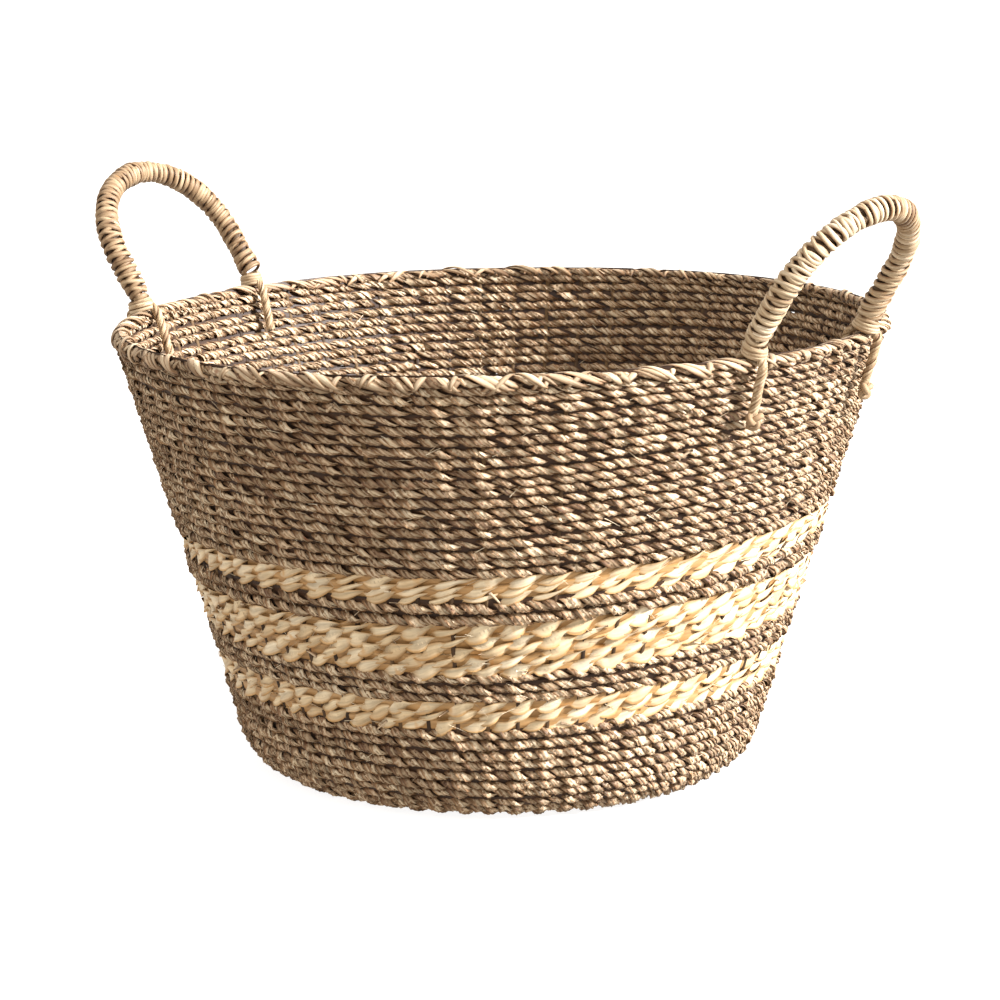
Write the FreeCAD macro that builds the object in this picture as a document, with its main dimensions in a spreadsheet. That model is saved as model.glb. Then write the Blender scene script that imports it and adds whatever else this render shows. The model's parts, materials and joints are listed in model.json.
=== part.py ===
"""Seagrass storage basket: a round twined basket with cream bands and two swinging handles.

Frame: millimetres, +Z up, origin on the floor at the centre of the base.
The two handles stand over +X and -X.  Woven bands are closed shells with the
true outer shape of the weave; the stakes run inside them from base to border.
"""
import FreeCAD, Part
import math
import os

os.makedirs("parts", exist_ok=True)
doc = FreeCAD.newDocument("seagrass_basket")

# ---------------------------------------------------------------- driving sizes
# alias, value, what it measures (mm, degrees or a plain count)
SIZES = [
    ("rim_radius", 225.0, "outer radius of the wall at the top edge"),
    ("foot_radius", 147.0, "outer wall line carried down to the floor"),
    ("basket_height", 262.0, "floor to the top of the border"),
    ("wall_thick", 7.8, "weave thickness, square to the wall"),
    ("heel_bend", 27.0, "outside bend radius where base turns into wall"),
    ("base_centre", 60.0, "radius of the first weaving over the crossed stakes"),
    ("lower_cream_from", 56.0, "floor to the lower cream band"),
    ("lower_cream_tall", 18.0, "height of the lower cream band"),
    ("lower_stripe_tall", 15.0, "height of the seagrass stripe above it"),
    ("middle_cream_tall", 31.0, "height of the wide cream band"),
    ("upper_stripe_tall", 12.0, "height of the upper seagrass stripe"),
    ("upper_cream_tall", 16.0, "height of the upper cream band"),
    ("border_bead", 5.0, "radius of the rounded border along the rim"),
    ("stake_count", 62.0, "stakes around the wall"),
    ("stake_radius", 1.8, "radius of one stake"),
    ("right_span", 107.0, "right handle rope centre to centre at the feet"),
    ("left_span", 120.0, "left handle rope centre to centre at the feet"),
    ("handle_rise", 75.0, "pivot line to the centre of the handle's crown"),
    ("shoulder_bend", 50.0, "centreline radius of a handle's shoulder"),
    ("handle_lean", 32.5, "how far a handle leans outwards at rest, degrees"),
    ("handle_skew", 4.7, "how far each handle sits round from the X axis, degrees"),
    ("rope_radius", 7.0, "outside of the wrapped handle rope"),
    ("core_radius", 4.4, "twisted core inside the wrap"),
    ("cord_radius", 4.0, "twisted cord that ties a handle foot over the border"),
    ("cord_outer_leg", 32.0, "cord length down the outside of the wall"),
    ("cord_inner_leg", 25.0, "cord length down the inside of the wall"),
    ("knot_radius", 6.5, "knot at the outer end of a foot cord"),
    ("pivot_rise", 18.6, "border bead centre to the handle's pivot, along the wall"),
    ("pivot_gap", 0.5, "clearance between a handle's rounded end and its cord"),
    ("knot_gap", 0.4, "clearance between a knot and the wall"),
]
SHOULDER_TURN = 60.0  # degrees turned by each shoulder; the crown turns the rest

sheet = doc.addObject("Spreadsheet::Sheet", "Sizes")
for row, (alias, value, meaning) in enumerate(SIZES, start=1):
    sheet.set(f"A{row}", meaning)
    sheet.set(f"B{row}", str(value))
    sheet.setAlias(f"B{row}", alias)
doc.recompute()

# ------------------------------------------------------- shared lines of geometry
SLOPE = "((Sizes.rim_radius - Sizes.foot_radius) / Sizes.basket_height)"
WALL_LEAN = f"atan({SLOPE})"
LEVEL_THICK = f"(Sizes.wall_thick / cos({WALL_LEAN}))"
HEEL_RING = f"(Sizes.foot_radius + {SLOPE} * Sizes.heel_bend - Sizes.heel_bend / cos({WALL_LEAN}))"
HEEL_TOP = f"(Sizes.heel_bend * (1 - sin({WALL_LEAN})))"
LOWER_STRIPE_FROM = "(Sizes.lower_cream_from + Sizes.lower_cream_tall)"
MIDDLE_CREAM_FROM = f"({LOWER_STRIPE_FROM} + Sizes.lower_stripe_tall)"
UPPER_STRIPE_FROM = f"({MIDDLE_CREAM_FROM} + Sizes.middle_cream_tall)"
UPPER_CREAM_FROM = f"({UPPER_STRIPE_FROM} + Sizes.upper_stripe_tall)"
UPPER_BAND_FROM = f"({UPPER_CREAM_FROM} + Sizes.upper_cream_tall)"
BEAD_HEIGHT = "(Sizes.basket_height - Sizes.border_bead)"
BORDER_FROM = "(Sizes.basket_height - 2 * Sizes.border_bead)"


def outer_at(height):
    """Outer wall radius at a height, as an expression."""
    return f"(Sizes.foot_radius + {SLOPE} * {height})"


def middle_at(height):
    """Radius of the middle of the wall at a height, as an expression."""
    return f"({outer_at(height)} - {LEVEL_THICK} / 2)"


def add(kind, name, **bound):
    """Add a document object and bind each named property to an expression."""
    piece = doc.addObject(kind, name)
    for prop, expression in bound.items():
        piece.setExpression(prop.replace("__", "."), expression)
    return piece


def place(piece, at=("0", "0", "0"), turn=("0", "0", "0")):
    """Bind a placement: a point, then turns about Z, Y and X in degrees."""
    point = "; ".join(at)
    angles = "; ".join(turn)
    piece.setExpression("Placement", f"placement(vector({point}); rotation({angles}))")
    return piece


def bind_point(piece, at):
    """Bind only the point of a placement, keeping how the piece is turned."""
    for axis, expression in zip("xyz", at):
        piece.setExpression(f"Placement.Base.{axis}", expression)


def cut(name, base, tool):
    piece = doc.addObject("Part::Cut", name)
    piece.Base = base
    piece.Tool = tool
    return piece


def fuse(name, shapes):
    piece = doc.addObject("Part::MultiFuse", name)
    piece.Shapes = shapes
    piece.Refine = False
    return piece


nodes = []


def node(piece, label):
    """Give a finished sub-part its label, which names its file."""
    piece.Label = label
    nodes.append(piece)
    return piece


# ------------------------------------------------------------------------- base
def cylinder(name, radius, height):
    return add("Part::Cylinder", name, Radius=radius, Height=height)


def make_base():
    """The flat base: a first weaving in the middle and a wider one round it."""
    centre = cylinder("CentreDisc", "Sizes.base_centre", "Sizes.wall_thick")
    node(centre, "base_centre_weave")
    disc = cylinder("OuterDisc", HEEL_RING, "Sizes.wall_thick")
    hole = cylinder("CentreHole", "Sizes.base_centre", "Sizes.wall_thick")
    node(cut("OuterRing", disc, hole), "base_outer_weave")


def make_heel():
    """The rounded turn from base to wall, a sector of a torus.

    The torus counts its section angles downwards from level.
    """
    full = add("Part::Torus", "HeelOutside", Radius1=HEEL_RING, Radius2="Sizes.heel_bend",
               Angle1=WALL_LEAN, Angle2="90 deg")
    inside = add("Part::Torus", "HeelInside", Radius1=HEEL_RING,
                 Radius2="Sizes.heel_bend - Sizes.wall_thick", Angle1=WALL_LEAN,
                 Angle2="90 deg")
    place(full, ("0", "0", "Sizes.heel_bend"))
    place(inside, ("0", "0", "Sizes.heel_bend"))
    return node(cut("Heel", full, inside), "heel_weave")


# ------------------------------------------------------------------------- wall
def cone_shell(name, low, high):
    """A ring of wall between two heights."""
    tall = f"{high} - {low}"
    outside = add("Part::Cone", name + "Outside", Radius1=outer_at(low),
                  Radius2=outer_at(high), Height=tall)
    inside = add("Part::Cone", name + "Inside", Radius1=f"{outer_at(low)} - {LEVEL_THICK}",
                 Radius2=f"{outer_at(high)} - {LEVEL_THICK}", Height=tall)
    place(outside, ("0", "0", low))
    place(inside, ("0", "0", low))
    return cut(name, outside, inside)


def make_wall(heel):
    """Seven woven bands, from the heel up to the border."""
    lowest = cone_shell("LowestRows", HEEL_TOP, "Sizes.lower_cream_from")
    node(cut("LowerBand", lowest, heel), "lower_seagrass_band")
    bands = [
        ("lower_cream_band", "Sizes.lower_cream_from", LOWER_STRIPE_FROM),
        ("lower_seagrass_stripe", LOWER_STRIPE_FROM, MIDDLE_CREAM_FROM),
        ("middle_cream_band", MIDDLE_CREAM_FROM, UPPER_STRIPE_FROM),
        ("upper_seagrass_stripe", UPPER_STRIPE_FROM, UPPER_CREAM_FROM),
        ("upper_cream_band", UPPER_CREAM_FROM, UPPER_BAND_FROM),
        ("upper_seagrass_band", UPPER_BAND_FROM, BORDER_FROM),
    ]
    for label, low, high in bands:
        name = label.title().replace("_", "")
        node(cone_shell(name, low, high), label)


def make_border():
    """The stake ends turned down and locked: a round bead on a short neck."""
    neck = cone_shell("BorderNeck", BORDER_FROM, BEAD_HEIGHT)
    bead = add("Part::Torus", "BorderBead", Radius1=middle_at(BEAD_HEIGHT),
               Radius2="Sizes.border_bead")
    place(bead, ("0", "0", BEAD_HEIGHT))
    node(fuse("Border", [neck, bead]), "rim_border")


# ----------------------------------------------------------------------- stakes
def make_stakes():
    """One stake lies in the base, turns up at the heel and climbs the wall."""
    bend = "(Sizes.heel_bend - Sizes.wall_thick / 2)"
    spoke = cylinder("StakeSpoke", "Sizes.stake_radius", f"{HEEL_RING} - Sizes.base_centre")
    place(spoke, ("Sizes.base_centre", "0", "Sizes.wall_thick / 2"), ("0", "90", "0"))
    elbow = add("Part::Torus", "StakeElbow", Radius1=bend, Radius2="Sizes.stake_radius",
                Angle3=f"90 deg - {WALL_LEAN}")
    upturn = FreeCAD.Rotation(FreeCAD.Vector(0, 0, -1), FreeCAD.Vector(1, 0, 0),
                              FreeCAD.Vector(0, -1, 0), "XYZ")
    elbow.Placement = FreeCAD.Placement(FreeCAD.Vector(), upturn)
    bind_point(elbow, (HEEL_RING, "0", "Sizes.heel_bend"))
    low_r = f"({HEEL_RING} + {bend} * cos({WALL_LEAN}))"
    low_z = f"(Sizes.heel_bend - {bend} * sin({WALL_LEAN}))"
    riser = cylinder("StakeRiser", "Sizes.stake_radius",
                     f"({BEAD_HEIGHT} - {low_z}) / cos({WALL_LEAN})")
    place(riser, (low_r, "0", low_z), ("0", WALL_LEAN, "0"))
    stake = fuse("OneStake", [spoke, elbow, riser])
    doc.recompute()
    count = round(sheet.stake_count)
    ring = doc.addObject("Part::Feature", "StakeRing")
    axis = FreeCAD.Vector(0, 0, 1)
    origin = FreeCAD.Vector(0, 0, 0)
    copies = [stake.Shape.copy().rotate(origin, axis, 360.0 * turn_no / count)
              for turn_no in range(count)]
    ring.Shape = Part.makeCompound(copies)
    node(ring, "stakes")


# ---------------------------------------------------------------------- handles
PIVOT_RADIUS = f"({middle_at(BEAD_HEIGHT)} + Sizes.pivot_rise * sin({WALL_LEAN}))"
PIVOT_HEIGHT = f"({BEAD_HEIGHT} + Sizes.pivot_rise * cos({WALL_LEAN}))"


def foot_angle(span):
    """How far round the rim a foot is from the middle of its handle."""
    return f"asin({span} / 2 / {PIVOT_RADIUS})"


def arch(name, radius, span):
    """A rope along the handle's centreline: legs, two shoulders and a crown.

    It stands in its own YZ plane with the pivot line along Y through the origin.
    """
    turn = f"{SHOULDER_TURN} deg"
    crown_bend = (f"(({span} / 2 - Sizes.shoulder_bend * (1 - cos({turn})))"
                  f" / sin(90 deg - {turn}))")
    crown_drop = f"({crown_bend} * (1 - cos(90 deg - {turn})))"
    leg_tall = f"(Sizes.handle_rise - {crown_drop} - Sizes.shoulder_bend * sin({turn}))"
    pieces = []
    for side, tag in ((1, "Back"), (-1, "Front")):
        leg = cylinder(f"{name}{tag}Leg", radius, leg_tall)
        place(leg, ("0", f"{side} * {span} / 2", "0"))
        shoulder = add("Part::Torus", f"{name}{tag}Shoulder", Radius1="Sizes.shoulder_bend",
                       Radius2=radius, Angle3=turn)
        in_y = f"{side} * ({span} / 2 - Sizes.shoulder_bend)"
        upright(shoulder, 0 if side > 0 else 180 - SHOULDER_TURN)
        bind_point(shoulder, ("0", in_y, leg_tall))
        pieces += [leg, shoulder]
    crown = add("Part::Torus", f"{name}Crown", Radius1=crown_bend, Radius2=radius,
                Angle3=f"180 deg - 2 * {turn}")
    upright(crown, SHOULDER_TURN)
    bind_point(crown, ("0", "0", f"Sizes.handle_rise - {crown_bend}"))
    return pieces + [crown]


def upright(torus, first_angle):
    """Stand a torus in the YZ plane, its sweep starting at an angle from +Y."""
    stand = FreeCAD.Rotation(FreeCAD.Vector(0, 1, 0), FreeCAD.Vector(0, 0, 1),
                             FreeCAD.Vector(1, 0, 0), "XYZ")
    start = FreeCAD.Rotation(FreeCAD.Vector(0, 0, 1), first_angle)
    torus.Placement = FreeCAD.Placement(FreeCAD.Vector(), stand.multiply(start))


def place_handle(piece, azimuth, span):
    chord = f"({PIVOT_RADIUS} * cos({foot_angle(span)}))"
    place(piece, (f"{chord} * cos({azimuth})", f"{chord} * sin({azimuth})", PIVOT_HEIGHT),
          (azimuth, "Sizes.handle_lean * 1 deg", "0 deg"))


def make_handle(side, azimuth, span):
    """Twisted core inside a wound wrap whose ends are rounded about the pivot."""
    core = fuse(f"{side}Core", arch(f"{side}Core", "Sizes.core_radius", span))
    place_handle(core, azimuth, span)
    node(core, f"{side.lower()}_handle_core")
    rope = arch(f"{side}Rope", "Sizes.rope_radius", span)
    for sign, tag in ((1, "Back"), (-1, "Front")):
        end = add("Part::Sphere", f"{side}Rope{tag}End", Radius="Sizes.rope_radius")
        bind_point(end, ("0", f"{sign} * {span} / 2", "0"))
        rope.append(end)
    solid = fuse(f"{side}RopeSolid", rope)
    bore = fuse(f"{side}RopeBore", arch(f"{side}Bore", "Sizes.core_radius", span))
    wrap = cut(f"{side}Wrap", solid, bore)
    place_handle(wrap, azimuth, span)
    node(wrap, f"{side.lower()}_handle_wrap")


# ------------------------------------------------------------------- foot cords
def make_foot(side, tag, azimuth):
    """A cord looped over the border under a handle foot, knotted outside."""
    name = f"{side}{tag}"
    loop_bend = "(Sizes.border_bead + Sizes.cord_radius)"
    knot_at = ("(Sizes.wall_thick / 2 + Sizes.knot_radius + Sizes.knot_gap)", "0",
               "-Sizes.cord_outer_leg")
    crown = add("Part::Torus", name + "Loop", Radius1=loop_bend, Radius2="Sizes.cord_radius",
                Angle3="180 deg")
    crown.Placement = FreeCAD.Placement(FreeCAD.Vector(),
                                        FreeCAD.Rotation(FreeCAD.Vector(1, 0, 0), 90))
    outer = cylinder(name + "OuterLeg", "Sizes.cord_radius", "Sizes.cord_outer_leg")
    bind_point(outer, (loop_bend, "0", "-Sizes.cord_outer_leg"))
    inner = cylinder(name + "InnerLeg", "Sizes.cord_radius", "Sizes.cord_inner_leg")
    bind_point(inner, (f"-{loop_bend}", "0", "-Sizes.cord_inner_leg"))
    socket = add("Part::Sphere", name + "Socket", Radius="Sizes.rope_radius + Sizes.pivot_gap")
    bind_point(socket, ("0", "0", "Sizes.pivot_rise"))
    seat = add("Part::Sphere", name + "KnotSeat", Radius="Sizes.knot_radius")
    bind_point(seat, knot_at)
    cord = cut(name + "Cord", fuse(name + "CordSolid", [outer, crown, inner]),
               fuse(name + "CordSeats", [socket, seat]))
    knot = add("Part::Sphere", name + "Knot", Radius="Sizes.knot_radius")
    bead_radius = middle_at(BEAD_HEIGHT)
    turn = (azimuth, WALL_LEAN, "0 deg")
    place(cord, (f"{bead_radius} * cos({azimuth})", f"{bead_radius} * sin({azimuth})",
                 BEAD_HEIGHT), turn)
    out = f"({bead_radius} + {knot_at[0]} * cos({WALL_LEAN}) + {knot_at[2]} * sin({WALL_LEAN}))"
    up = f"({BEAD_HEIGHT} - {knot_at[0]} * sin({WALL_LEAN}) + {knot_at[2]} * cos({WALL_LEAN}))"
    place(knot, (f"{out} * cos({azimuth})", f"{out} * sin({azimuth})", up), turn)
    where = f"{side.lower()}_{tag.lower()}"
    node(cord, f"{where}_foot_cord")
    node(knot, f"{where}_foot_knot")


# --------------------------------------------------------------------- assembly
make_base()
make_wall(make_heel())
make_border()
make_stakes()
RIGHT = "(-Sizes.handle_skew * 1 deg)"
LEFT = "(180 deg + Sizes.handle_skew * 1 deg)"
for side, middle, span, tags in (("Right", RIGHT, "Sizes.right_span", ("Back", "Front")),
                                 ("Left", LEFT, "Sizes.left_span", ("Front", "Back"))):
    make_handle(side, middle, span)
    make_foot(side, tags[0], f"({middle} + {foot_angle(span)})")
    make_foot(side, tags[1], f"({middle} - {foot_angle(span)})")
doc.recompute()

for item in doc.Objects:
    if "Invalid" in item.State or "Error" in item.State:
        raise RuntimeError(f"{item.Name} did not recompute: {item.State}")
for item in nodes:
    if item.Shape.isNull() or not item.Shape.isValid():
        raise RuntimeError(f"{item.Label} has no valid shape")
    item.Shape.exportStep(f"parts/{item.Label}.step")
    box = item.Shape.optimalBoundingBox()
    print(f"{item.Label}: {len(item.Shape.Solids)} solid(s), {item.Shape.Volume / 1000:.1f} cm3,"
          f" z {box.ZMin:.1f} to {box.ZMax:.1f}, x {box.XMin:.1f} to {box.XMax:.1f},"
          f" y {box.YMin:.1f} to {box.YMax:.1f}")
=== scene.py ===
# %% [markdown]
# # A seagrass storage basket
# The real basket is twined by hand.  Stakes lie in the base, turn up at the heel and climb the wall, and
# two strands of leaf go round them: one in front, one behind, crossing over in every gap.  This lesson
# builds that structure strand by strand, because the light in the gaps is what makes a woven thing look woven.

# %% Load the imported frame
import json
import math
import bpy
import numpy as np
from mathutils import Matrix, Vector


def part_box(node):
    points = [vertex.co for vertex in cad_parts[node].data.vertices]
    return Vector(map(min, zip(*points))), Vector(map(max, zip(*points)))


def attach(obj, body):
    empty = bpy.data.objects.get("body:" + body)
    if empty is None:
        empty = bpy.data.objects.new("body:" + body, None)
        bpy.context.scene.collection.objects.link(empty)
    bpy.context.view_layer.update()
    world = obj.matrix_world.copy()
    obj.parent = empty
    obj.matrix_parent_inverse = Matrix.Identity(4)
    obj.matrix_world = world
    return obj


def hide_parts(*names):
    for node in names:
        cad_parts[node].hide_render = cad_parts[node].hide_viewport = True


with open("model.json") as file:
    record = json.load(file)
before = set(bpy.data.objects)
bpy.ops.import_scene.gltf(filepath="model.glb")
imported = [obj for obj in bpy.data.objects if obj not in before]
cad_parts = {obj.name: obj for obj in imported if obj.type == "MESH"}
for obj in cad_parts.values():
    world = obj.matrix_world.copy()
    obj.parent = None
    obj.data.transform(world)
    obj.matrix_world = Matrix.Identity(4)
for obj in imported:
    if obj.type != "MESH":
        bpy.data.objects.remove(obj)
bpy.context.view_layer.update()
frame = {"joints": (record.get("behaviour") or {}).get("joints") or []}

MM = 0.001

# %% [markdown]
# ## The camera first
# A product picture is taken from far off with a long lens, so the mouth and the base look almost equally
# deep.  The handles stand along X, and the camera looks from the front with one handle near and one far.

# %% Camera
CAMERA_TURN = math.radians(-55.7)
CAMERA_RISE = math.radians(11.3)
CAMERA_AWAY = 1.912
AIM = Vector((0.0, 0.0, 0.153))
LENS_MM = 117.1


def look_at(thing, eye, target):
    """Point a camera or a lamp from one place to another."""
    thing.location = eye
    thing.rotation_euler = (target - eye).to_track_quat("-Z", "Y").to_euler()


camera = bpy.data.objects.new("camera", bpy.data.cameras.new("camera"))
bpy.context.scene.collection.objects.link(camera)
bpy.context.scene.camera = camera
camera.data.lens = LENS_MM
camera.data.sensor_width = 36.0
toward_camera = Vector((math.cos(CAMERA_TURN) * math.cos(CAMERA_RISE),
                        math.sin(CAMERA_TURN) * math.cos(CAMERA_RISE), math.sin(CAMERA_RISE)))
look_at(camera, AIM + CAMERA_AWAY * toward_camera, AIM)
print("camera at", [round(v, 3) for v in camera.location])

# %% [markdown]
# ## The basket's skin
# Everything woven lies on one skin: flat base, round heel, straight tapered wall.  Its sizes are read from
# the frame.  A place on it is a turn about the basket, a distance run from the middle of the base, and a
# depth in or out of the weave.

# %% Skin measured from the frame
WALL_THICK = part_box("base_outer_weave")[1].z
HEEL_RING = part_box("base_outer_weave")[1].x
wall_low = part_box("lower_cream_band")[1]
wall_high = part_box("upper_seagrass_band")[1]
TAPER = (wall_high.x - wall_low.x) / (wall_high.z - wall_low.z)
WALL_LEAN = math.atan(TAPER)
FOOT_LINE = wall_low.x - TAPER * wall_low.z
HEEL_BEND = (FOOT_LINE - HEEL_RING) / (1 / math.cos(WALL_LEAN) - TAPER)
HEEL_MID = HEEL_BEND - WALL_THICK / 2
HEEL_RUN = HEEL_MID * (math.pi / 2 - WALL_LEAN)
RIM_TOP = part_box("rim_border")[1].z
STAKES = 62
print(f"wall leans {math.degrees(WALL_LEAN):.1f} degrees, weave {WALL_THICK / MM:.1f} mm thick")


def run_at(height):
    """How far along the skin the wall reaches a height."""
    start = HEEL_BEND - HEEL_MID * math.sin(WALL_LEAN)
    return HEEL_RING + HEEL_RUN + (height - start) / math.cos(WALL_LEAN)


def skin(run, depth):
    """Radius and height for a run along the skin, and the direction that points out of the basket."""
    run = np.asarray(run, float)
    bend = np.clip((run - HEEL_RING) / HEEL_MID, 0, math.pi / 2 - WALL_LEAN)
    along_wall = np.clip(run - HEEL_RING - HEEL_RUN, 0, None)
    flat = np.clip(run, None, HEEL_RING)
    out_r, out_z = np.sin(bend), -np.cos(bend)
    radius = flat + HEEL_MID * np.sin(bend) + along_wall * math.sin(WALL_LEAN) + depth * out_r
    height = HEEL_BEND + HEEL_MID * out_z + along_wall * math.cos(WALL_LEAN) + depth * out_z
    return radius, height, out_r, out_z


RIGHT_OF_VIEW = CAMERA_TURN + math.pi / 2
RIM_TILT = 0.0215
BAND_LIFT = 13 * MM
SWELL = 1.2 * MM


def by_hand(points):
    """The small faults of a hand-made basket.

    The mouth tilts a little, the rows climb towards one side, and the round is not quite true.
    """
    points = np.array(points, float)
    x, y, z = points.T
    grown = np.clip(z / RIM_TOP, 0, 1)
    side = x * math.cos(RIGHT_OF_VIEW) + y * math.sin(RIGHT_OF_VIEW)
    turn = np.arctan2(y, x)
    swell = SWELL * grown * (np.sin(3 * turn + 0.7) + 0.6 * np.sin(5 * turn + 2.1))
    radius = np.hypot(x, y) + 1e-9
    points[:, 0] += x / radius * swell
    points[:, 1] += y / radius * swell
    climb = BAND_LIFT * np.sin(math.pi * grown) ** 0.7 * np.clip((side + 30 * MM) / (200 * MM), 0, 1) ** 1.4
    rise = RIM_TILT * grown * side + climb
    points[:, 0] += x / radius * TAPER * climb
    points[:, 1] += y / radius * TAPER * climb
    points[:, 2] += rise
    return points


def on_skin(turn, run, depth):
    """Points in space and their outward directions."""
    radius, height, out_r, out_z = skin(run, depth)
    cos, sin = np.cos(turn), np.sin(turn)
    points = np.stack([radius * cos, radius * sin, height], 1)
    outward = np.stack([out_r * cos, out_r * sin, out_z * np.ones_like(cos)], 1)
    return points, outward


# %% [markdown]
# ## One leaf strand
# A strand is a ribbon: a path, the direction its flat side faces, a width and a thickness that change along
# it.  Its section has two sharp edges, like a folded leaf, so each stitch catches the light as a facet.
# Thousands of Bezier curves would be slow, so all the strands of a band are gathered into one mesh.

# %% Strand bag
SECTION = np.array([(-1.0, 0.0), (-0.5, 0.95), (0.5, 0.95), (1.0, 0.0), (0.5, -0.95), (-0.5, -0.95)])
ROUND = np.array([(math.cos(a), math.sin(a)) for a in np.linspace(math.pi, -math.pi, 6, endpoint=False)])
# Painted shade across each ribbon, as if lit from above: on the rows the top edge is darkened, the bottom edge
# more, and the lower half of each face a little.
PAINTED_EDGE_SHADE = np.array([0.55, 1.0, 0.85, 0.4, 0.85, 1.0])


class StrandBag:
    """Collects strands and turns them into one mesh object."""

    def __init__(self, section=SECTION):
        self.section = section
        self.edge = PAINTED_EDGE_SHADE if section is SECTION else np.ones(len(section))
        self.points, self.faces, self.uvs, self.tones, self.shades, self.ends = [], [], [], [], [], []
        self.count = 0

    def add(self, path, facing, width, thick, tone, closed=False, roll=0.0, shade=1.0):
        """One strand along a path.  Its sizes, tone and shade are one number or one for each point."""
        n, k = len(path), len(self.section)
        ones = np.ones(n)
        ahead = np.roll(path, -1, 0) - np.roll(path, 1, 0)
        if not closed:
            ahead[0], ahead[-1] = path[1] - path[0], path[-1] - path[-2]
        ahead /= np.linalg.norm(ahead, axis=1)[:, None] + 1e-12
        across = np.cross(ahead, facing)
        across /= np.linalg.norm(across, axis=1)[:, None] + 1e-12
        upward = np.cross(across, ahead)
        roll = (roll * ones)[:, None]
        across, upward = (across * np.cos(roll) + upward * np.sin(roll),
                          upward * np.cos(roll) - across * np.sin(roll))
        half = (width * ones / 2)[:, None, None]
        high = (thick * ones / 2)[:, None, None]
        ring = (path[:, None] + across[:, None] * self.section[None, :, :1] * half
                + upward[:, None] * self.section[None, :, 1:] * high)
        length = np.concatenate([[0], np.cumsum(np.linalg.norm(np.diff(path, axis=0), axis=1))])
        spans = n if closed else n - 1
        i = np.arange(spans)[:, None]
        j = np.arange(k)[None, :]
        after = (i + 1) % n
        quad = np.stack([i * k + j, i * k + (j + 1) % k, after * k + (j + 1) % k, after * k + j], -1)
        lengths = np.append(length, length[-1] + np.linalg.norm(path[0] - path[-1]))
        u = np.stack([lengths[i] + 0 * j, lengths[i] + 0 * j, lengths[i + 1] + 0 * j,
                      lengths[i + 1] + 0 * j], -1)
        v = np.stack([j, j + 1, j + 1, j], -1) / k + 0 * i[..., None]
        self.points.append(ring.reshape(-1, 3))
        self.faces.append(quad.reshape(-1, 4) + self.count)
        shift = 7.31 * len(self.points) * MM
        leaf_uv = np.stack([u / MM + shift / MM, v * 10 + 10 * (len(self.points) % 97)], -1)
        self.uvs.append(leaf_uv.reshape(-1, 2))
        self.tones.append(np.repeat(tone * ones, k))
        self.shades.append(((shade * ones)[:, None] * self.edge[None, :]).ravel())
        if not closed:
            caps = np.array([np.arange(k), (n - 1) * k + np.arange(k)[::-1]])
            self.ends.append(caps + self.count)
        self.count += n * k

    def build(self, name, material):
        """Make the mesh object, with its leaf coordinates, tones and sharp edges."""
        points = by_hand(np.concatenate(self.points))
        quads = np.concatenate(self.faces)
        k = len(self.section)
        ends = np.concatenate(self.ends) if self.ends else np.zeros((0, k), int)
        mesh = bpy.data.meshes.new(name)
        mesh.vertices.add(len(points))
        mesh.vertices.foreach_set("co", points.astype(np.float32).ravel())
        loops = np.concatenate([quads.ravel(), ends.ravel()])
        mesh.loops.add(len(loops))
        mesh.loops.foreach_set("vertex_index", loops.astype(np.int32))
        totals = np.concatenate([np.full(len(quads), 4), np.full(len(ends), k)])
        starts = np.concatenate([[0], np.cumsum(totals)[:-1]])
        mesh.polygons.add(len(totals))
        mesh.polygons.foreach_set("loop_start", starts.astype(np.int32))
        mesh.polygons.foreach_set("use_smooth", np.ones(len(totals), bool))
        mesh.update(calc_edges=True)
        leaf = mesh.uv_layers.new(name="leaf")
        uv = np.concatenate([np.concatenate(self.uvs), np.zeros((ends.size, 2))])
        leaf.data.foreach_set("uv", uv.astype(np.float32).ravel())
        for label, values in (("tone", self.tones), ("shade", self.shades)):
            layer = mesh.attributes.new(label, "FLOAT", "POINT")
            layer.data.foreach_set("value", np.concatenate(values).astype(np.float32))
        if self.section is SECTION:
            pairs = np.zeros(len(mesh.edges) * 2, np.int32)
            mesh.edges.foreach_get("vertices", pairs)
            pairs = pairs.reshape(-1, 2)
            lengthwise = (pairs[:, 0] % k) == (pairs[:, 1] % k)
            sharp = lengthwise & np.isin(pairs[:, 0] % k, (0, k // 2))
            edge = mesh.attributes.new("sharp_edge", "BOOLEAN", "EDGE")
            edge.data.foreach_set("value", sharp)
        mesh.materials.append(material)
        mesh.validate()
        piece = bpy.data.objects.new(name, mesh)
        bpy.context.scene.collection.objects.link(piece)
        print(f"{name}: {len(quads)} faces")
        return piece


# %% [markdown]
# ## Materials
# Seagrass is a dried, rolled leaf: fine lengthwise fibres, a dull wax sheen, and a colour that wanders from
# straw through grey green to rust.  The cream bands are a flat bleached husk, smoother and paler.  Colour
# follows each leaf's own tone and is broken up along the leaf, so every pattern is stretched lengthwise.

# %% Node helpers
def srgb(code):
    """A hex colour as linear light."""
    values = [int(code[i:i + 2], 16) / 255 for i in (1, 3, 5)]
    return [v / 12.92 if v <= 0.04045 else ((v + 0.055) / 1.055) ** 2.4 for v in values] + [1.0]


def add_node(tree, kind, links=(), **settings):
    """Add a node, set its inputs and properties, and link sockets into it."""
    made = tree.nodes.new(kind)
    for key, value in settings.items():
        if key in made.bl_rna.properties:
            setattr(made, key, value)
        else:
            made.inputs[key.replace("_", " ")].default_value = value
    for socket, source in links:
        tree.links.new(source, made.inputs[socket])
    return made


def ramp(tree, factor, stops):
    """A colour ramp over hex colours at given places."""
    made = add_node(tree, "ShaderNodeValToRGB", links=[("Fac", factor)])
    bar = made.color_ramp
    while len(bar.elements) < len(stops):
        bar.elements.new(0.5)
    for element, (place, code) in zip(bar.elements, stops):
        element.position = place
        element.color = srgb(code)
    return made.outputs["Color"]


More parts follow.
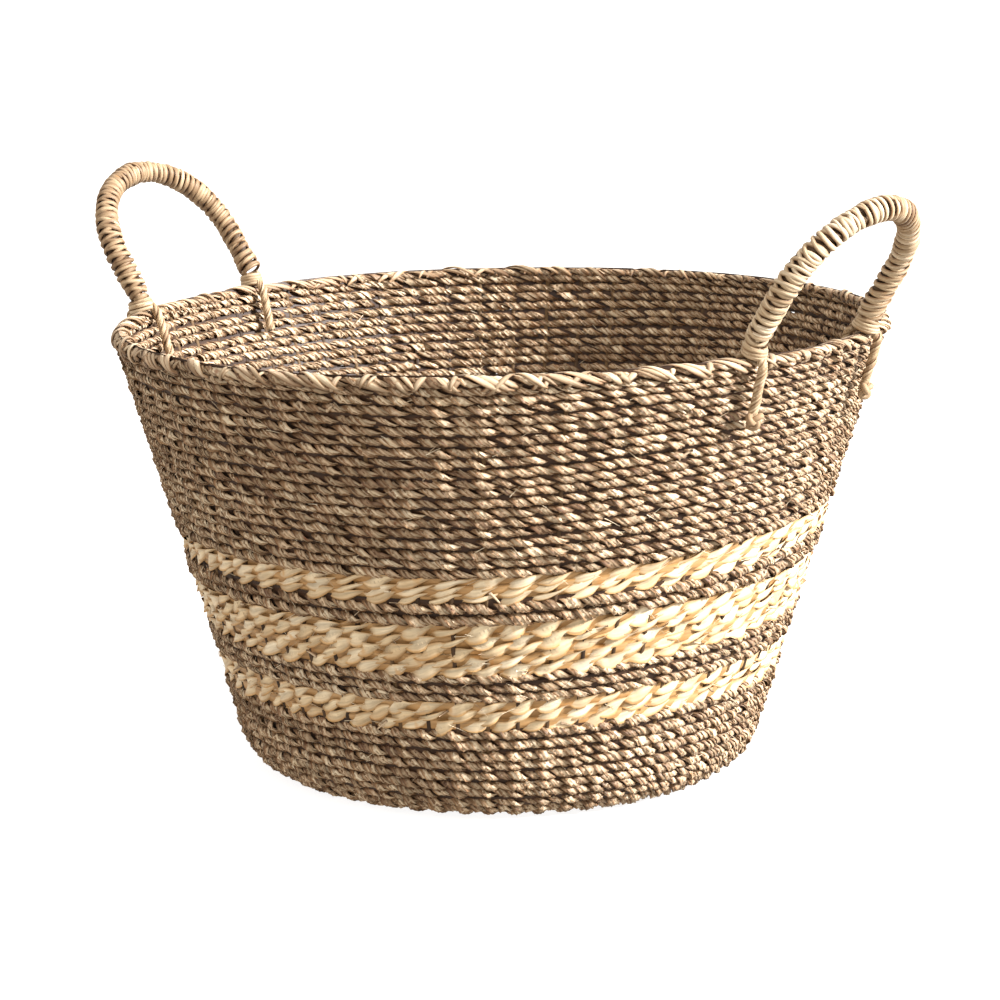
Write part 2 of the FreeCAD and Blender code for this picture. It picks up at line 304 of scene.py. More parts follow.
# %% Leaf material
def leaf_material(name, stops, fleck, roughness, fibre_mm, groove, sheen=0.0, painted_gap_code="#AF947C"):
    """A dried plant strand: tone picks its colour, stretched noise gives fibre and blotches, and the shade
    attribute paints shade over it.
    """
    material = bpy.data.materials.new(name)
    material.use_nodes = True
    tree = material.node_tree
    shader = tree.nodes["Principled BSDF"]
    shader.inputs["Roughness"].default_value = roughness
    shader.inputs["Specular IOR Level"].default_value = 0.35
    shader.inputs["Sheen Weight"].default_value = sheen
    tone = add_node(tree, "ShaderNodeAttribute", attribute_name="tone").outputs["Fac"]
    leaf = add_node(tree, "ShaderNodeUVMap", uv_map="leaf").outputs["UV"]
    along = add_node(tree, "ShaderNodeMapping", links=[("Vector", leaf)], Scale=(0.05, 1.0 / fibre_mm, 1))
    fibre = add_node(tree, "ShaderNodeTexNoise", links=[("Vector", along.outputs[0])], Scale=1.0, Detail=3.0,
                     Roughness=0.6).outputs["Fac"]
    blotch_at = add_node(tree, "ShaderNodeMapping", links=[("Vector", leaf)], Scale=(0.11, 0.09, 1))
    blotch = add_node(tree, "ShaderNodeTexNoise", links=[("Vector", blotch_at.outputs[0])], Scale=1.0,
                      Detail=2.0).outputs["Fac"]
    shift = add_node(tree, "ShaderNodeMath", links=[(0, blotch)], operation="MULTIPLY_ADD")
    shift.inputs[1].default_value = 0.5
    shift.inputs[2].default_value = -0.25
    picked = add_node(tree, "ShaderNodeMath", links=[(0, tone), (1, shift.outputs[0])], operation="ADD")
    base = ramp(tree, picked.outputs[0], stops)
    dark = add_node(tree, "ShaderNodeMapRange", links=[("Value", fibre)], From_Min=0.3, From_Max=0.7,
                    To_Min=0.62, To_Max=1.15)
    toned = add_node(tree, "ShaderNodeMix", links=[(6, base), (7, dark.outputs[0])], data_type="RGBA",
                     blend_type="MULTIPLY")
    toned.inputs[0].default_value = 1.0
    spot = add_node(tree, "ShaderNodeMapRange", links=[("Value", blotch)], From_Min=0.62, From_Max=0.78)
    flecked = add_node(tree, "ShaderNodeMix", links=[(0, spot.outputs[0]), (6, toned.outputs[2])],
                       data_type="RGBA")
    flecked.inputs[7].default_value = srgb(fleck)
    # Painted shade: the shade attribute picks a multiplier from near-black brown through the gap colour to white,
    # darkening gaps, ribbon edges and strands turned into the weave.
    shade = add_node(tree, "ShaderNodeAttribute", attribute_name="shade").outputs["Fac"]
    gap = ramp(tree, shade, [(0.0, "#1E120A"), (0.5, painted_gap_code), (1.0, "#FFFFFF")])
    painted_shade_mix = add_node(tree, "ShaderNodeMix", links=[(6, flecked.outputs[2]), (7, gap)], data_type="RGBA",
                     blend_type="MULTIPLY")
    painted_shade_mix.inputs[0].default_value = 1.0
    tree.links.new(painted_shade_mix.outputs[2], shader.inputs["Base Color"])
    bump = add_node(tree, "ShaderNodeBump", links=[("Height", fibre)], Strength=groove, Distance=0.35 * MM)
    tree.links.new(bump.outputs[0], shader.inputs["Normal"])
    return material


SEAGRASS = [(0.0, "#6E5241"), (0.2, "#957A60"), (0.4, "#AD977A"), (0.55, "#BCAB90"), (0.72, "#D0B99C"),
            (0.88, "#E0CFB1"), (1.0, "#ECDFC5")]
# Twined seagrass: brown to straw leaves with rust flecks and deep gaps, darkened further with painted shade, give
# the wall its rough, matte look.
seagrass = leaf_material("dried_seagrass_twined", SEAGRASS, "#86532F", 0.55, 0.9, 0.6, sheen=0.05)
CREAM = [(0.0, "#B4946B"), (0.3, "#D2BA94"), (0.6, "#E2D0AE"), (1.0, "#EFE3C9")]
# Bleached husk: broad pale shingles make the light bands stand out from the seagrass; its painted shade in the
# gaps is a pale tan.
cream = leaf_material("bleached_husk_flat", CREAM, "#D0A56B", 0.5, 1.4, 0.35, sheen=0.05, painted_gap_code="#D3B48C")
STRAW = [(0.0, "#8F7558"), (0.3, "#B39A7A"), (0.6, "#CDB898"), (1.0, "#E4D5BC")]
# Wound straw: pale and fine-grained, so each turn on a handle shows as a thin light line.
straw = leaf_material("straw_wound", STRAW, "#A97B48", 0.55, 0.6, 0.5, sheen=0.05)
CORD = [(0.0, "#6E5139"), (0.3, "#9C8062"), (0.6, "#C2AA88"), (1.0, "#DFCDAE")]
# Twisted cord: duller and a little redder than the straw, which marks the ties at the handle feet.
cord_leaf = leaf_material("seagrass_cord_twisted", CORD, "#8A6243", 0.6, 0.8, 0.55, sheen=0.05)
STAKE = [(0.0, "#2E2015"), (0.5, "#4D3926"), (1.0, "#6E5639")]
# Stakes, and the handle cores that share this material: coloured very dark as painted shade, so a stake shows only
# as the shadowed line in a gap.
stake_leaf = leaf_material("seagrass_stake", STAKE, "#4A2E1B", 0.7, 0.7, 0.5)
print("materials:", [m.name for m in bpy.data.materials if m.use_nodes])

# %% [markdown]
# ## Twining
# Two strands share each row.  In the seagrass they are twisted hard, a full turn between one stake and the
# next, so each row looks like a thin rope whose facets lean down to the right, and each strand is a bundle of
# leaves, which shows as folds along a facet.  The flat cream husk makes only half a turn, so its facets are
# twice as long and lie like shingles.  A dark inner leaf runs along each row to fill the weave; its dark colour
# is painted shade for the deep gaps, and the strands carry painted shade where they turn into the weave.

# %% One row of twining
rng = np.random.default_rng(20240517)
SAMPLES = 8


def wander(spots, count, amount=1.0):
    """Smooth random numbers round a closed row of so many stakes."""
    knots = max(int(count), 3)
    values = rng.normal(size=knots)
    place = np.arange(spots * SAMPLES) / (spots * SAMPLES) * knots
    low = np.floor(place).astype(int)
    blend = (1 - np.cos(math.pi * (place - low))) / 2
    return amount * (values[low % knots] * (1 - blend) + values[(low + 1) % knots] * blend)


def stitched(stakes, offset=0.0):
    """One random number for each stitch, changing where the stitch goes behind."""
    values = rng.random(stakes)
    u = np.arange(stakes * SAMPLES) / SAMPLES
    return values[np.floor(u + 0.5 - offset).astype(int) % stakes]


def rope_row(bag, run, pitch, weave, stakes=STAKES):
    """One closed seagrass row: two plies twisted like a rope, each a bundle of three folded leaves."""
    u = np.arange(stakes * SAMPLES) / SAMPLES
    turn = 2 * math.pi * u / stakes
    tangle = wander(stakes, stakes / 5, 0.07 * pitch)
    slip = rng.normal() * 0.06 + wander(stakes, stakes / 3, 0.07)
    over_stake = weave["rib"] * np.cos(2 * math.pi * u)
    for ply in (0, 1):
        spin = math.pi * ply - 2 * math.pi * (u + slip + wander(stakes, stakes, 0.05))
        twist = pitch * weave["ply"] * (1 + wander(stakes, stakes, 0.14))
        fat = 1 + wander(stakes, 2 * stakes, 0.12)
        stitch = stitched(stakes, 0.5 * ply)
        ply_tone = weave["tone"] + wander(stakes, stakes / 4, 0.08) + 0.5 * (stitch - 0.5)
        for leaf, share in ((-1, 0.8), (0, 1.0), (1, 0.85)):
            lie = spin + leaf * 0.95 + wander(stakes, stakes, 0.22)
            loft = pitch * weave["leaf"] * fat * (1 + wander(stakes, stakes, 0.15))
            height = run + tangle + weave["lean"] * np.sin(spin) * twist + np.sin(lie) * loft
            depth = np.cos(spin) * twist + np.cos(lie) * loft + over_stake
            width = share * pitch * weave["wide"] * fat * (1 + wander(stakes, 2 * stakes, 0.15))
            tone = ply_tone + wander(stakes, 1.5 * stakes, 0.11) + rng.normal() * 0.05
            # Painted shade: each leaf darkens where it turns sideways into the gaps between stitches.
            shade = weave["gap_shade"] + (1 - weave["gap_shade"]) * np.clip(1.5 * np.abs(np.cos(lie)), 0, 1)
            path, facing = on_skin(turn, height, depth)
            bag.add(path, facing, width, weave["thin"], np.clip(tone, 0, 1), closed=True, roll=lie,
                    shade=shade)
    fill_row(bag, run, tangle, turn, pitch, weave)


def twine_row(bag, run, pitch, weave, stakes=STAKES):
    """One closed cream row: two flat husks that change places once at each stake."""
    u = np.arange(stakes * SAMPLES) / SAMPLES
    turn = 2 * math.pi * u / stakes
    tangle = wander(stakes, stakes / 5, 0.08 * pitch)
    slip = rng.uniform(0, 2) + wander(stakes, stakes / 3, 0.12)
    for strand in (0, 1):
        phase = math.pi * (u + slip + wander(stakes, stakes, 0.05)) - math.pi * strand
        front = np.sign(np.cos(phase)) * np.abs(np.cos(phase)) ** weave["flat"]
        depth = weave["depth"] * front * (1 + wander(stakes, stakes, 0.12))
        depth = depth + weave["rib"] * np.cos(2 * math.pi * (u + slip)) * (front > 0)
        climb = weave["climb"] * np.sin(phase) * (1 + wander(stakes, 2 * stakes, 0.3))
        full = np.abs(front)
        shape = weave["pinch"] + (weave["wide"] - weave["pinch"]) * full ** weave["point"]
        width = pitch * shape * np.clip(1 + wander(stakes, stakes, 0.3), 0.5, 1.7)
        thick = weave["thin"] * (1.2 - 0.3 * full)
        patch = wander(stakes, stakes / 4, 0.10)
        tone = weave["tone"] + patch + 0.5 * (stitched(stakes, strand - slip[0]) - 0.5)
        # Painted shade: the husks darken where the two strands cross in a gap.
        shade = weave["gap_shade"] + (1 - weave["gap_shade"]) * np.clip(1.4 * full - 0.1, 0, 1)
        roll = -weave["roll"] * np.sin(phase) + wander(stakes, 2 * stakes, 0.2)
        path, facing = on_skin(turn, run + tangle + climb, depth)
        bag.add(path, facing, width, thick, np.clip(tone, 0, 1), closed=True, roll=roll, shade=shade)
    fill_row(bag, run, tangle, turn, pitch, weave)


def fill_row(bag, run, tangle, turn, pitch, weave):
    """The inner leaf of a row, with a few narrow places where light comes through."""
    layer = 0.4 * MM * (1 if round(run / pitch) % 2 else -1)
    spots = turn[::4]
    path, facing = on_skin(spots, run + tangle[::4], 0 * spots + layer)
    inner = pitch * np.where(rng.random(len(path)) < 0.03, 0.5, weave["inner"] + 0.06 * rng.random(len(path)))
    # Painted shade: the inner leaf gets a dark tone and is darkened further, standing for the shadow deep inside
    # the row.
    bag.add(path, facing, inner, 0.6 * MM, weave["inner_tone"], closed=True, shade=weave["inner_shade"])


# gap_shade and inner_shade are painted shade: how dark a strand is painted where it turns into the weave, and how
# dark the inner leaf is painted.
SEAGRASS_WEAVE = {"ply": 0.27, "leaf": 0.17, "lean": 0.74, "rib": 0.75 * MM, "wide": 0.70, "thin": 1.0 * MM,
                  "tone": 0.68, "gap_shade": 0.35, "inner": 1.4, "inner_tone": 0.1, "inner_shade": 0.25}
CREAM_WEAVE = {"flat": 0.5, "depth": 1.8 * MM, "rib": 0.4 * MM, "climb": 2.3 * MM, "wide": 1.2, "pinch": 0.52,
               "point": 1.0, "thin": 0.5 * MM, "tone": 0.7, "roll": 0.6, "gap_shade": 0.6, "inner": 1.35,
               "inner_tone": 0.4, "inner_shade": 0.6}

# %% Rows of each band
SPREAD = 1.0 * MM


def weave_band(name, node, rows, weave, material, parts=1):
    """Fill a band of wall between its CAD heights with whole rows.

    The wide cream leaves spread past their rows, so cream rows stand back and seagrass rows stand in.
    """
    low, high = (run_at(corner.z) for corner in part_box(node))
    if material is cream:
        low, high = low + SPREAD, high - SPREAD
    else:
        low = low - SPREAD * (node != "lower_seagrass_band")
        high = high + SPREAD * (node != "upper_seagrass_band")
    pitch = (high - low) / rows
    pieces = []
    for group in np.array_split(np.arange(rows), parts):
        bag = StrandBag()
        for row in group:
            (twine_row if material is cream else rope_row)(bag, low + (row + 0.5) * pitch, pitch, weave)
        piece = bag.build(f"{name}_{group[0]}" if parts > 1 else name, material)
        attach(piece, "root")
        pieces.append(piece)
    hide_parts(node)
    print(f"{name}: {rows} rows, {pitch / MM:.2f} mm apart")
    return pieces


weave_band("lower_rows", "lower_seagrass_band", 6, SEAGRASS_WEAVE, seagrass, parts=2)
weave_band("lower_cream_rows", "lower_cream_band", 3, CREAM_WEAVE, cream)
weave_band("lower_stripe_rows", "lower_seagrass_stripe", 3, SEAGRASS_WEAVE, seagrass)
weave_band("middle_cream_rows", "middle_cream_band", 5, CREAM_WEAVE, cream)
weave_band("upper_stripe_rows", "upper_seagrass_stripe", 2, SEAGRASS_WEAVE, seagrass)
weave_band("upper_cream_rows", "upper_cream_band", 3, CREAM_WEAVE, cream)
weave_band("upper_rows", "upper_seagrass_band", 18, SEAGRASS_WEAVE, seagrass, parts=4)

# %% [markdown]
# ## Heel and base
# The same rows turn the heel and fill the base.  Towards the middle there is no room for every stake, so a
# maker starts with few and adds more: the base is twined in three zones, with sixteen, thirty-two and all of them.

# %% Heel and base rows
ROW_PITCH = 6.0 * MM
BASE_START = 10 * MM
ZONES = [(BASE_START, 32 * MM, 16), (32 * MM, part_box("base_centre_weave")[1].x, 32),
         (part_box("base_centre_weave")[1].x, HEEL_RING, STAKES)]


def weave_base():
    """Base zones and heel, each its own piece on its own node."""
    centre, outer = StrandBag(), StrandBag()
    for bag, zones in ((centre, ZONES[:2]), (outer, ZONES[2:])):
        for low, high, stakes in zones:
            rows = round((high - low) / ROW_PITCH)
            pitch = (high - low) / rows
            for row in range(rows):
                rope_row(bag, low + (row + 0.5) * pitch, pitch, SEAGRASS_WEAVE, stakes)
    heel = StrandBag()
    heel_rows = round(HEEL_RUN / ROW_PITCH)
    for row in range(heel_rows):
        pitch = HEEL_RUN / heel_rows
        rope_row(heel, HEEL_RING + (row + 0.5) * pitch, pitch, SEAGRASS_WEAVE)
    for bag, name, node in ((centre, "base_centre_rows", "base_centre_weave"),
                            (outer, "base_outer_rows", "base_outer_weave"),
                            (heel, "heel_rows", "heel_weave")):
        piece = bag.build(name, seagrass)
        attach(piece, "root")
        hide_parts(node)


weave_base()

# %% Stakes
STAKE_WIDE = 3.2 * MM


def lay_stakes():
    """Every stake from the middle of the base to just under the border, one strand each."""
    bag = StrandBag(ROUND)
    top = run_at(RIM_TOP - 7 * MM)
    for zone, (low, high, stakes) in enumerate(ZONES):
        end = top if stakes == STAKES else high
        first = 2 * MM if zone == 0 else low
        for stake in range(stakes):
            run = np.linspace(first, end, max(int((end - first) / (6 * MM)), 4))
            turn = 2 * math.pi * stake / stakes + 0 * run
            path, facing = on_skin(turn, run, 0 * run)
            bag.add(path, facing, STAKE_WIDE, STAKE_WIDE * 0.8, rng.random())
    piece = bag.build("stake_strands", stake_leaf)
    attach(piece, "root")
    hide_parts("stakes")


lay_stakes()

# %% [markdown]
# ## The border
# At the rim each stake end bends over to the right, passes two neighbours and is tucked down through the
# weave.  The overlapping bends make the low scallops along the edge.

# %% Border loops
BORDER_LOW, BORDER_HIGH = (corner.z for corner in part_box("rim_border"))


def lock_border():
    """Two tight rows along the rim, and each stake's leaves brought over them from inside to outside."""
    bag = StrandBag()
    foot = run_at(BORDER_LOW)
    tall = run_at(BORDER_HIGH) - foot
    edge_weave = dict(SEAGRASS_WEAVE, ply=0.3, leaf=0.2)
    for share in (0.24, 0.66):
        rope_row(bag, foot + share * tall, 0.5 * tall, edge_weave)
    along = np.array([math.sin(WALL_LEAN), math.cos(WALL_LEAN)])
    t = np.linspace(0, 1, 15)
    for loop in range(2 * STAKES):
        over = loop % 2 == 0
        reach = (4.6 if over else 3.9) * MM * (1 + rng.normal() * 0.10)
        lean = rng.normal(1.2, 0.35) if over else rng.normal(-0.5, 0.4)
        for leaf in range(3 if over else 2):
            angle = math.radians(rng.normal(195, 12)) - math.radians(rng.normal(235, 15)) * t
            bulge = reach * (1 + 0.12 * rng.normal()) * (1 - 0.25 * (t > 0.9))
            u = loop / 2 + 0.2 * (leaf - 1) * (1 - 0.4 * t) + rng.normal() * 0.09 + lean * (t - 0.5)
            turn = 2 * math.pi * u / STAKES
            path, outward = on_skin(turn, foot + 0.5 * tall + bulge * np.sin(angle), bulge * np.cos(angle))
            upward = np.stack([along[0] * np.cos(turn), along[0] * np.sin(turn), along[1] + 0 * turn], 1)
            facing = outward * np.cos(angle)[:, None] + upward * np.sin(angle)[:, None]
            width = rng.uniform(2.4, 4.2) * MM * (0.35 + 0.7 * np.sin(math.pi * t))
            # Painted shade: each loop darkens towards its ends, where it dives into the weave.
            shade = 0.3 + 0.7 * np.sin(math.pi * t) ** 0.6
            bag.add(path, facing, width, 1.2 * MM, 0.35 + 0.6 * rng.random(), shade=shade)
    piece = bag.build("border_loops", seagrass)
    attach(piece, "root")
    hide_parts("rim_border")


lock_border()

# %% [markdown]
# ## Handles
# A handle is a twisted core wound from foot to foot with straw strands, a few at a time.  The centreline is
# two legs, two shoulders and a crown, in a plane that leans outwards from the pivot line at its feet.

# %% Handle centreline
HANDLE_SPANS = {"right_handle": 107 * MM, "left_handle": 120 * MM}
HANDLE_RISE = 75 * MM
SHOULDER = 50 * MM
SHOULDER_TURN = math.radians(60)
HANDLE_LEAN = math.radians(32.5)
ROPE = 7 * MM
SHOULDER_WIDE = SHOULDER * (1 - math.cos(SHOULDER_TURN))
CROWN_TURN = math.pi - 2 * SHOULDER_TURN


def arch_lengths(span):
    """The crown's radius, and the lengths of leg, shoulder, crown, shoulder and leg."""
    crown = (span / 2 - SHOULDER_WIDE) / math.sin(CROWN_TURN / 2)
    leg = HANDLE_RISE - crown * (1 - math.cos(CROWN_TURN / 2)) - SHOULDER * math.sin(SHOULDER_TURN)
    return crown, [leg, SHOULDER * SHOULDER_TURN, crown * CROWN_TURN, SHOULDER * SHOULDER_TURN, leg]


def heading_at(run, span):
    """Which way the centreline points, measured from across."""
    crown, lengths = arch_lengths(span)
    edges = np.cumsum([0] + lengths)
    return (math.pi / 2 - np.clip((run - edges[1]) / SHOULDER, 0, SHOULDER_TURN)
            - np.clip((run - edges[2]) / crown, 0, CROWN_TURN)
            - np.clip((run - edges[3]) / SHOULDER, 0, SHOULDER_TURN))


def arch_point(run, span):
    """Across and up along the handle's centreline, and the direction along it."""
    fine = np.linspace(-ROPE * 2, sum(arch_lengths(span)[1]) + ROPE * 2, 2000)
    step = fine[1] - fine[0]
    across = np.cumsum(np.cos(heading_at(fine, span))) * step
    up = np.cumsum(np.sin(heading_at(fine, span))) * step
    across += -span / 2 - np.interp(0, fine, across)
    up += -np.interp(0, fine, up)
    return np.interp(run, fine, across), np.interp(run, fine, up), heading_at(run, span)


def handle_frame(joint):
    """Pivot, and the outward, sideways and upward directions of a handle's plane."""
    pivot = np.array(joint["pos_m"])
    side = np.array(joint["axis"])
    flat_out = np.cross(side, (0, 0, 1.0))
    up = math.cos(HANDLE_LEAN) * np.array((0, 0, 1.0)) + math.sin(HANDLE_LEAN) * flat_out
    out = np.cross(side, up)
    return pivot, out, side, up


WIND_PITCH = 4.6 * MM
PLIES = 2
LOOP_STEPS = 22
CORE_TWIST = 26 * MM
# Painted shade: the left handle, away from the key light, gets a much darker straw tone than the right.
STRAW_TONE_LEFT_SHADED = {"right_handle": 0.62, "left_handle": 0.18}


def by_turn(spin, amount, rate=1.0):
    """Smooth random numbers along a winding, so many to a turn."""
    knots = max(int(spin[-1] / (2 * math.pi) * rate), 4)
    return amount * np.interp(spin, np.linspace(0, spin[-1], knots), rng.normal(size=knots))


def wind_handle(joint):
    """The straw strands wound round one handle.  Each turn slants its own way, so turns cross and pinch."""
    pivot, out, side, up = handle_frame(joint)
    span = HANDLE_SPANS[joint["child"]]
    rope_run = sum(arch_lengths(span)[1])
    bag = StrandBag()
    start, end = -ROPE * 0.8, rope_run + ROPE * 0.8
    turns = (end - start) / WIND_PITCH
    for ply in range(PLIES):
        spin = np.linspace(0, 2 * math.pi * turns, int(turns * LOOP_STEPS))
        slant = (2.9 - 3.4 * ply) * MM + by_turn(spin, 0.8 * MM, 0.5)
        run = (start + spin / (2 * math.pi) * WIND_PITCH + ply * WIND_PITCH / PLIES
               + slant * np.sin(spin - 0.9) + by_turn(spin, 0.3 * MM, 2))
        run = np.clip(run, start, end)
        across, height, heading = arch_point(run, span)
        beyond = np.maximum(np.maximum(-run, run - rope_run), 0)
        girth = np.sqrt(np.clip(ROPE ** 2 - beyond ** 2, (0.3 * ROPE) ** 2, None)) - 1.1 * MM
        girth = girth + by_turn(spin, 0.35 * MM, 0.7) + by_turn(spin, 0.3 * MM, 0.25)
        radial = (np.cos(spin)[:, None] * out
                  + np.sin(spin)[:, None] * (np.sin(heading)[:, None] * side - np.cos(heading)[:, None] * up))
        path = pivot + across[:, None] * side + height[:, None] * up + radial * girth[:, None]
        tone = STRAW_TONE_LEFT_SHADED[joint["child"]] + by_turn(spin, 0.22, 1)
        wide = np.clip(2.9 * MM + by_turn(spin, 0.5 * MM, 1.5), 1.6 * MM, None)
        bag.add(path, radial, wide, 1.7 * MM, np.clip(tone, 0, 1), roll=by_turn(spin, 0.25, 1.5))
    return bag


def lay_core(joint):
    """The twisted core under the winding: three dark plies."""
    pivot, out, side, up = handle_frame(joint)
    span = HANDLE_SPANS[joint["child"]]
    bag = StrandBag(ROUND)
    run = np.linspace(0, sum(arch_lengths(span)[1]), 90)
    across, height, heading = arch_point(run, span)
    inward = np.sin(heading)[:, None] * side - np.cos(heading)[:, None] * up
    for ply in range(3):
        spin = run / CORE_TWIST * 2 * math.pi + ply * 2 * math.pi / 3
        radial = np.cos(spin)[:, None] * out + np.sin(spin)[:, None] * inward
        path = pivot + across[:, None] * side + height[:, None] * up + radial * (ROPE * 0.38)
        bag.add(path, radial, ROPE * 0.9, ROPE * 0.9, 0.2 + 0.2 * ply)
    return bag


for joint in frame["joints"]:
    body = joint["child"]
    for bag, name, node, material, finish in (
            (wind_handle(joint), "_winding", "_wrap", straw, "handle_wrap"),
            (lay_core(joint), "_core_plies", "_core", stake_leaf, "stake")):
        piece = bag.build(body + name, material)
        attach(piece, body)
        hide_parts(body + node)

# %% [markdown]
# ## Foot cords and knots
# Under each handle foot a two-ply cord is looped over the border.  It runs down inside the wall and down
# outside, where it ends in an overhand knot.

# %% Foot cords
CORD_THICK = 8 * MM
BEAD = (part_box("rim_border")[1].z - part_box("rim_border")[0].z) / 2
OUTER_LEG = 32 * MM
INNER_LEG = 25 * MM
CORD_TWIST = 17 * MM
BINDING_TURNS = 3.6


def foot_frame(where):
    """Middle of the border over a foot, and the outward and upward directions along the wall."""
    knot_low, knot_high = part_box(where + "_foot_knot")
    knot = (knot_low + knot_high) / 2
    turn = math.atan2(knot.y, knot.x)
    height = RIM_TOP - BEAD
    radius = FOOT_LINE + TAPER * height - WALL_THICK / math.cos(WALL_LEAN) / 2
    flat = np.array((math.cos(turn), math.sin(turn), 0.0))
    up = math.cos(WALL_LEAN) * np.array((0, 0, 1.0)) + math.sin(WALL_LEAN) * flat
    out = math.cos(WALL_LEAN) * flat - math.sin(WALL_LEAN) * np.array((0, 0, 1.0))
    middle = radius * flat + np.array((0, 0, height))
    return middle, out, up, np.cross(up, out)


def tie_foot(where):
    """The cord over the border: two plies twisted round each other."""
    middle, out, up, side = foot_frame(where)
    bend = BEAD + CORD_THICK / 2
    lengths = [OUTER_LEG, math.pi * bend, INNER_LEG]
    n = 60
    run = np.linspace(0, sum(lengths), n)
    angle = np.clip((run - lengths[0]) / bend, 0, math.pi)
    x = bend * np.cos(angle)
    z = bend * np.sin(angle) + np.minimum(run - lengths[0], 0) - np.clip(run - lengths[0] - lengths[1], 0, None)
    centre = middle + x[:, None] * out + z[:, None] * up
    outward = np.cos(angle)[:, None] * out + np.sin(angle)[:, None] * up
    bag = StrandBag()
    for ply in (0, 1):
        spin = run / CORD_TWIST * 2 * math.pi + math.pi * ply
        for leaf in range(4):
            around = spin + (leaf - 1.5) * 0.62
            hug = CORD_THICK * 0.24 + rng.normal() * 0.2 * MM
            radial = np.cos(around)[:, None] * outward + np.sin(around)[:, None] * side
            width = rng.uniform(1.7, 2.6) * MM
            bag.add(centre + radial * hug, radial, width, 1.3 * MM, 0.3 + 0.65 * rng.random())
    piece = bag.build(where + "_cord_plies", cord_leaf)
    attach(piece, "root")
    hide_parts(where + "_foot_cord")


def tie_knot(where):
    """An overhand knot is a trefoil pulled tight."""
    low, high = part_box(where + "_foot_knot")
    centre = np.array((low + high) / 2)
    size = (high.z - low.z) / 2
    _, out, up, side = foot_frame(where)
    t = np.linspace(0, 2 * math.pi, 72, endpoint=False)
    loop = size * 0.27
    path = (centre + (loop * (np.sin(t) + 1.6 * np.sin(2 * t)))[:, None] * side
            + (loop * (np.cos(t) - 1.6 * np.cos(2 * t)))[:, None] * up
            - (loop * 0.9 * np.sin(3 * t))[:, None] * out)
    facing = path - centre
    facing /= np.linalg.norm(facing, axis=1)[:, None]
    bag = StrandBag(ROUND)
    bag.add(path, facing, size * 0.62, size * 0.55, 0.25 + 0.2 * rng.random(), closed=True)
    piece = bag.build(where + "_knot_loops", cord_leaf)
    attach(piece, "root")
    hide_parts(where + "_foot_knot")


def bind_foot(where):
    """Straw wound round the top of the cord, from the handle's end down onto the border."""
    middle, out, up, side = foot_frame(where)
    bag = StrandBag()
    for ply in (0, 1):
        t = np.linspace(0, 1, 96)
        spin = 2 * math.pi * (BINDING_TURNS * t + 0.5 * ply)
        jitter = np.interp(t, np.linspace(0, 1, 12), rng.normal(size=12))
        rise = (11.8 - 5.8 * t + ply * 1.1) * MM + 0.5 * MM * jitter
        wide_out = (5.9 + 1.9 * t) * MM
        wide_side = (5.6 + 0.4 * np.sin(math.pi * t)) * MM
        flat = np.cos(spin)[:, None] * out * wide_out[:, None] + np.sin(spin)[:, None] * side * wide_side[:, None]
        path = middle + flat + rise[:, None] * up
        facing = flat / np.linalg.norm(flat, axis=1)[:, None]
        tone = 0.45 + 0.15 * np.interp(t, np.linspace(0, 1, 9), rng.normal(size=9))
        bag.add(path, facing, 2.3 * MM, 1.3 * MM, np.clip(tone, 0, 1))
    piece = bag.build(where + "_binding", straw)
    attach(piece, "root")


for end in ("right_back", "right_front", "left_front", "left_back"):
    tie_foot(end)
    bind_foot(end)
    tie_knot(end)

# %% [markdown]
# ## Loose fibres
# No one trims every end of a hand-made basket.  Short cut ends stand out of the weave where one leaf ran out
# and the next began, and fine fibres lift off the stitches.

# %% Cut ends and fibres
CUT_ENDS = 150
FIBRES = 1500


def stray(bag, turn, run, face, length, width, tone, lift):
    """One short leaf end that leaves the weave at an angle."""
    t = np.linspace(0, 1, 5)
    heading = rng.uniform(-0.9, 0.9) + (math.pi if rng.random() < 0.3 else 0)
    radius = skin(run, 0)[0]
    turns = turn + math.cos(heading) * length * t / radius
    path, facing = on_skin(turns, run + math.sin(heading) * length * t, face * (1.6 * MM + lift * t ** 1.5))
    bag.add(path, facing, width * (1 - 0.6 * t), 0.5 * width, tone)


def scatter_strays():
    """Cut ends and fibres over both faces of the wall, thicker on the outside."""
    stubs, fibres = StrandBag(), StrandBag(ROUND)
    low, high = run_at(20 * MM), run_at(BORDER_LOW)
    for _ in range(CUT_ENDS):
        stray(stubs, rng.uniform(0, 2 * math.pi), rng.uniform(low, high), 1 if rng.random() < 0.75 else -1,
              rng.uniform(5, 10) * MM, rng.uniform(1.6, 2.8) * MM, rng.choice((0.3, 0.75, 0.95)), 2.0 * MM)
    for _ in range(FIBRES):
        stray(fibres, rng.uniform(0, 2 * math.pi), rng.uniform(low, high), 1 if rng.random() < 0.7 else -1,
              rng.uniform(4, 12) * MM, rng.uniform(0.3, 0.6) * MM, rng.uniform(0.5, 1.0), rng.uniform(0.5, 3) * MM)
    for bag, name in ((stubs, "cut_ends"), (fibres, "loose_fibres")):
        piece = bag.build(name, seagrass)
        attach(piece, "root")


scatter_strays()

# %% [markdown]
# ## Floor and light
# A plain pale floor and a large soft key from the right, high and a little in front.  It leaves the left
# of the wall browner and puts the inside of the right wall in its own shadow.

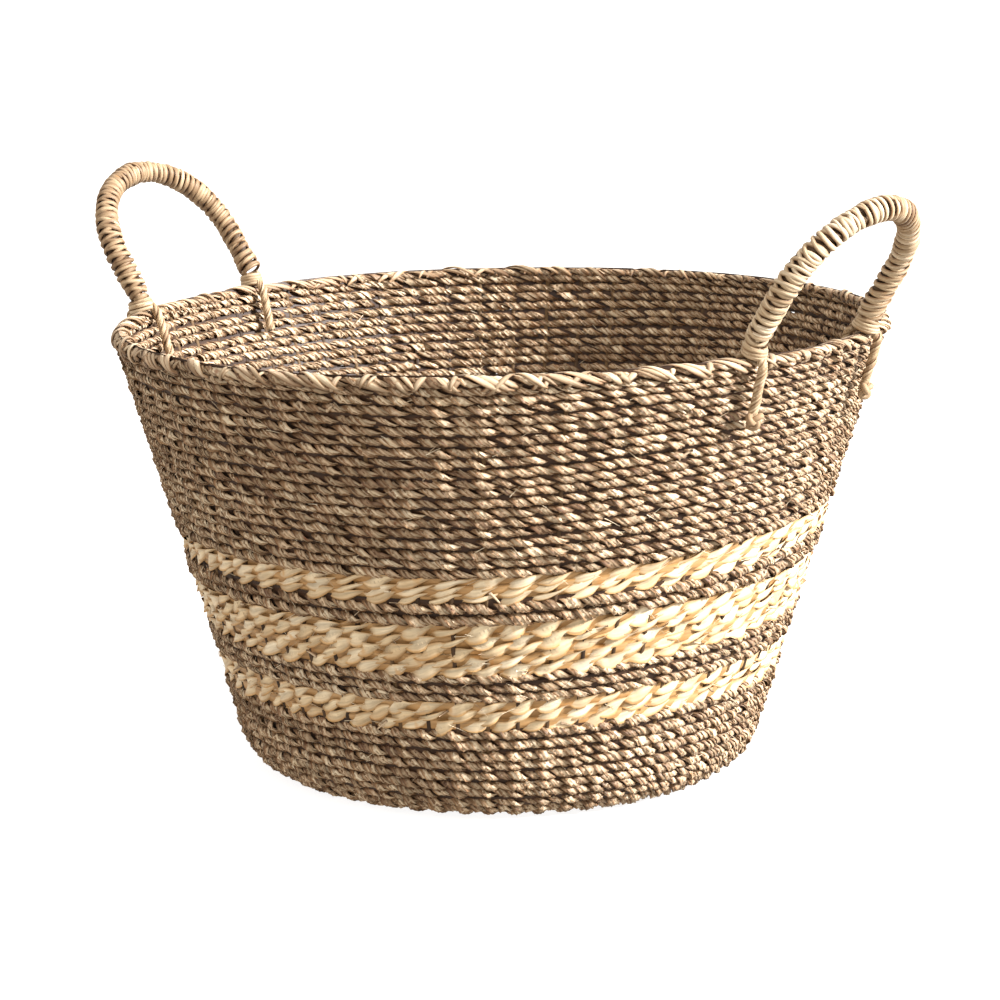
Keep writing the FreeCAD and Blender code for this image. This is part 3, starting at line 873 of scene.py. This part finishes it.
# %% Studio
FLOOR = 30.0
floor_mesh = bpy.data.meshes.new("floor")
floor_mesh.from_pydata([(-FLOOR, -FLOOR, 0), (FLOOR, -FLOOR, 0), (FLOOR, FLOOR, 0), (-FLOOR, FLOOR, 0)], [],
                       [(0, 1, 2, 3)])
floor = bpy.data.objects.new("floor", floor_mesh)
bpy.context.scene.collection.objects.link(floor)
# Painted floor: it glows nearly white, so the basket stands on the same plain ground as its background.
paint = bpy.data.materials.new("pale_studio_floor")
paint.use_nodes = True
floor_shader = paint.node_tree.nodes["Principled BSDF"]
floor_shader.inputs["Base Color"].default_value = srgb("#8F8E8C")
floor_shader.inputs["Roughness"].default_value = 1.0
floor_shader.inputs["Specular IOR Level"].default_value = 0.0
floor_shader.inputs["Emission Color"].default_value = srgb("#FFFFFF")
floor_shader.inputs["Emission Strength"].default_value = 0.9
floor_mesh.materials.append(paint)
floor.visible_diffuse = False
floor.visible_glossy = False
floor.visible_transmission = False

AMBIENT = 0.88
world = bpy.data.worlds.new("studio")
bpy.context.scene.world = world
world.use_nodes = True
seen = add_node(world.node_tree, "ShaderNodeLightPath").outputs["Is Camera Ray"]
glow = add_node(world.node_tree, "ShaderNodeMapRange", links=[("Value", seen)], To_Min=AMBIENT, To_Max=1.05)
backdrop = world.node_tree.nodes["Background"]
tint = add_node(world.node_tree, "ShaderNodeMix", links=[(0, seen)], data_type="RGBA")
tint.inputs[6].default_value = srgb("#FFF4E6")
tint.inputs[7].default_value = srgb("#FFFFFF")
world.node_tree.links.new(tint.outputs[2], backdrop.inputs["Color"])
world.node_tree.links.new(glow.outputs[0], backdrop.inputs["Strength"])


def soft_sun(name, turn, rise, strength, softness):
    """A far lamp at a turn from the camera towards its right hand, and a rise above the floor."""
    lamp = bpy.data.objects.new(name, bpy.data.lights.new(name, "SUN"))
    bpy.context.scene.collection.objects.link(lamp)
    lamp.data.energy = strength
    lamp.data.angle = math.radians(softness)
    heading, lift = CAMERA_TURN + math.radians(turn), math.radians(rise)
    eye = Vector((math.cos(heading) * math.cos(lift), math.sin(heading) * math.cos(lift), math.sin(lift)))
    look_at(lamp, AIM + 3 * eye, AIM)


soft_sun("key", 72, 27, 11.0, 9)
soft_sun("front_fill", -10, 45, 0.7, 40)
bpy.context.scene.view_settings.view_transform = "Standard"
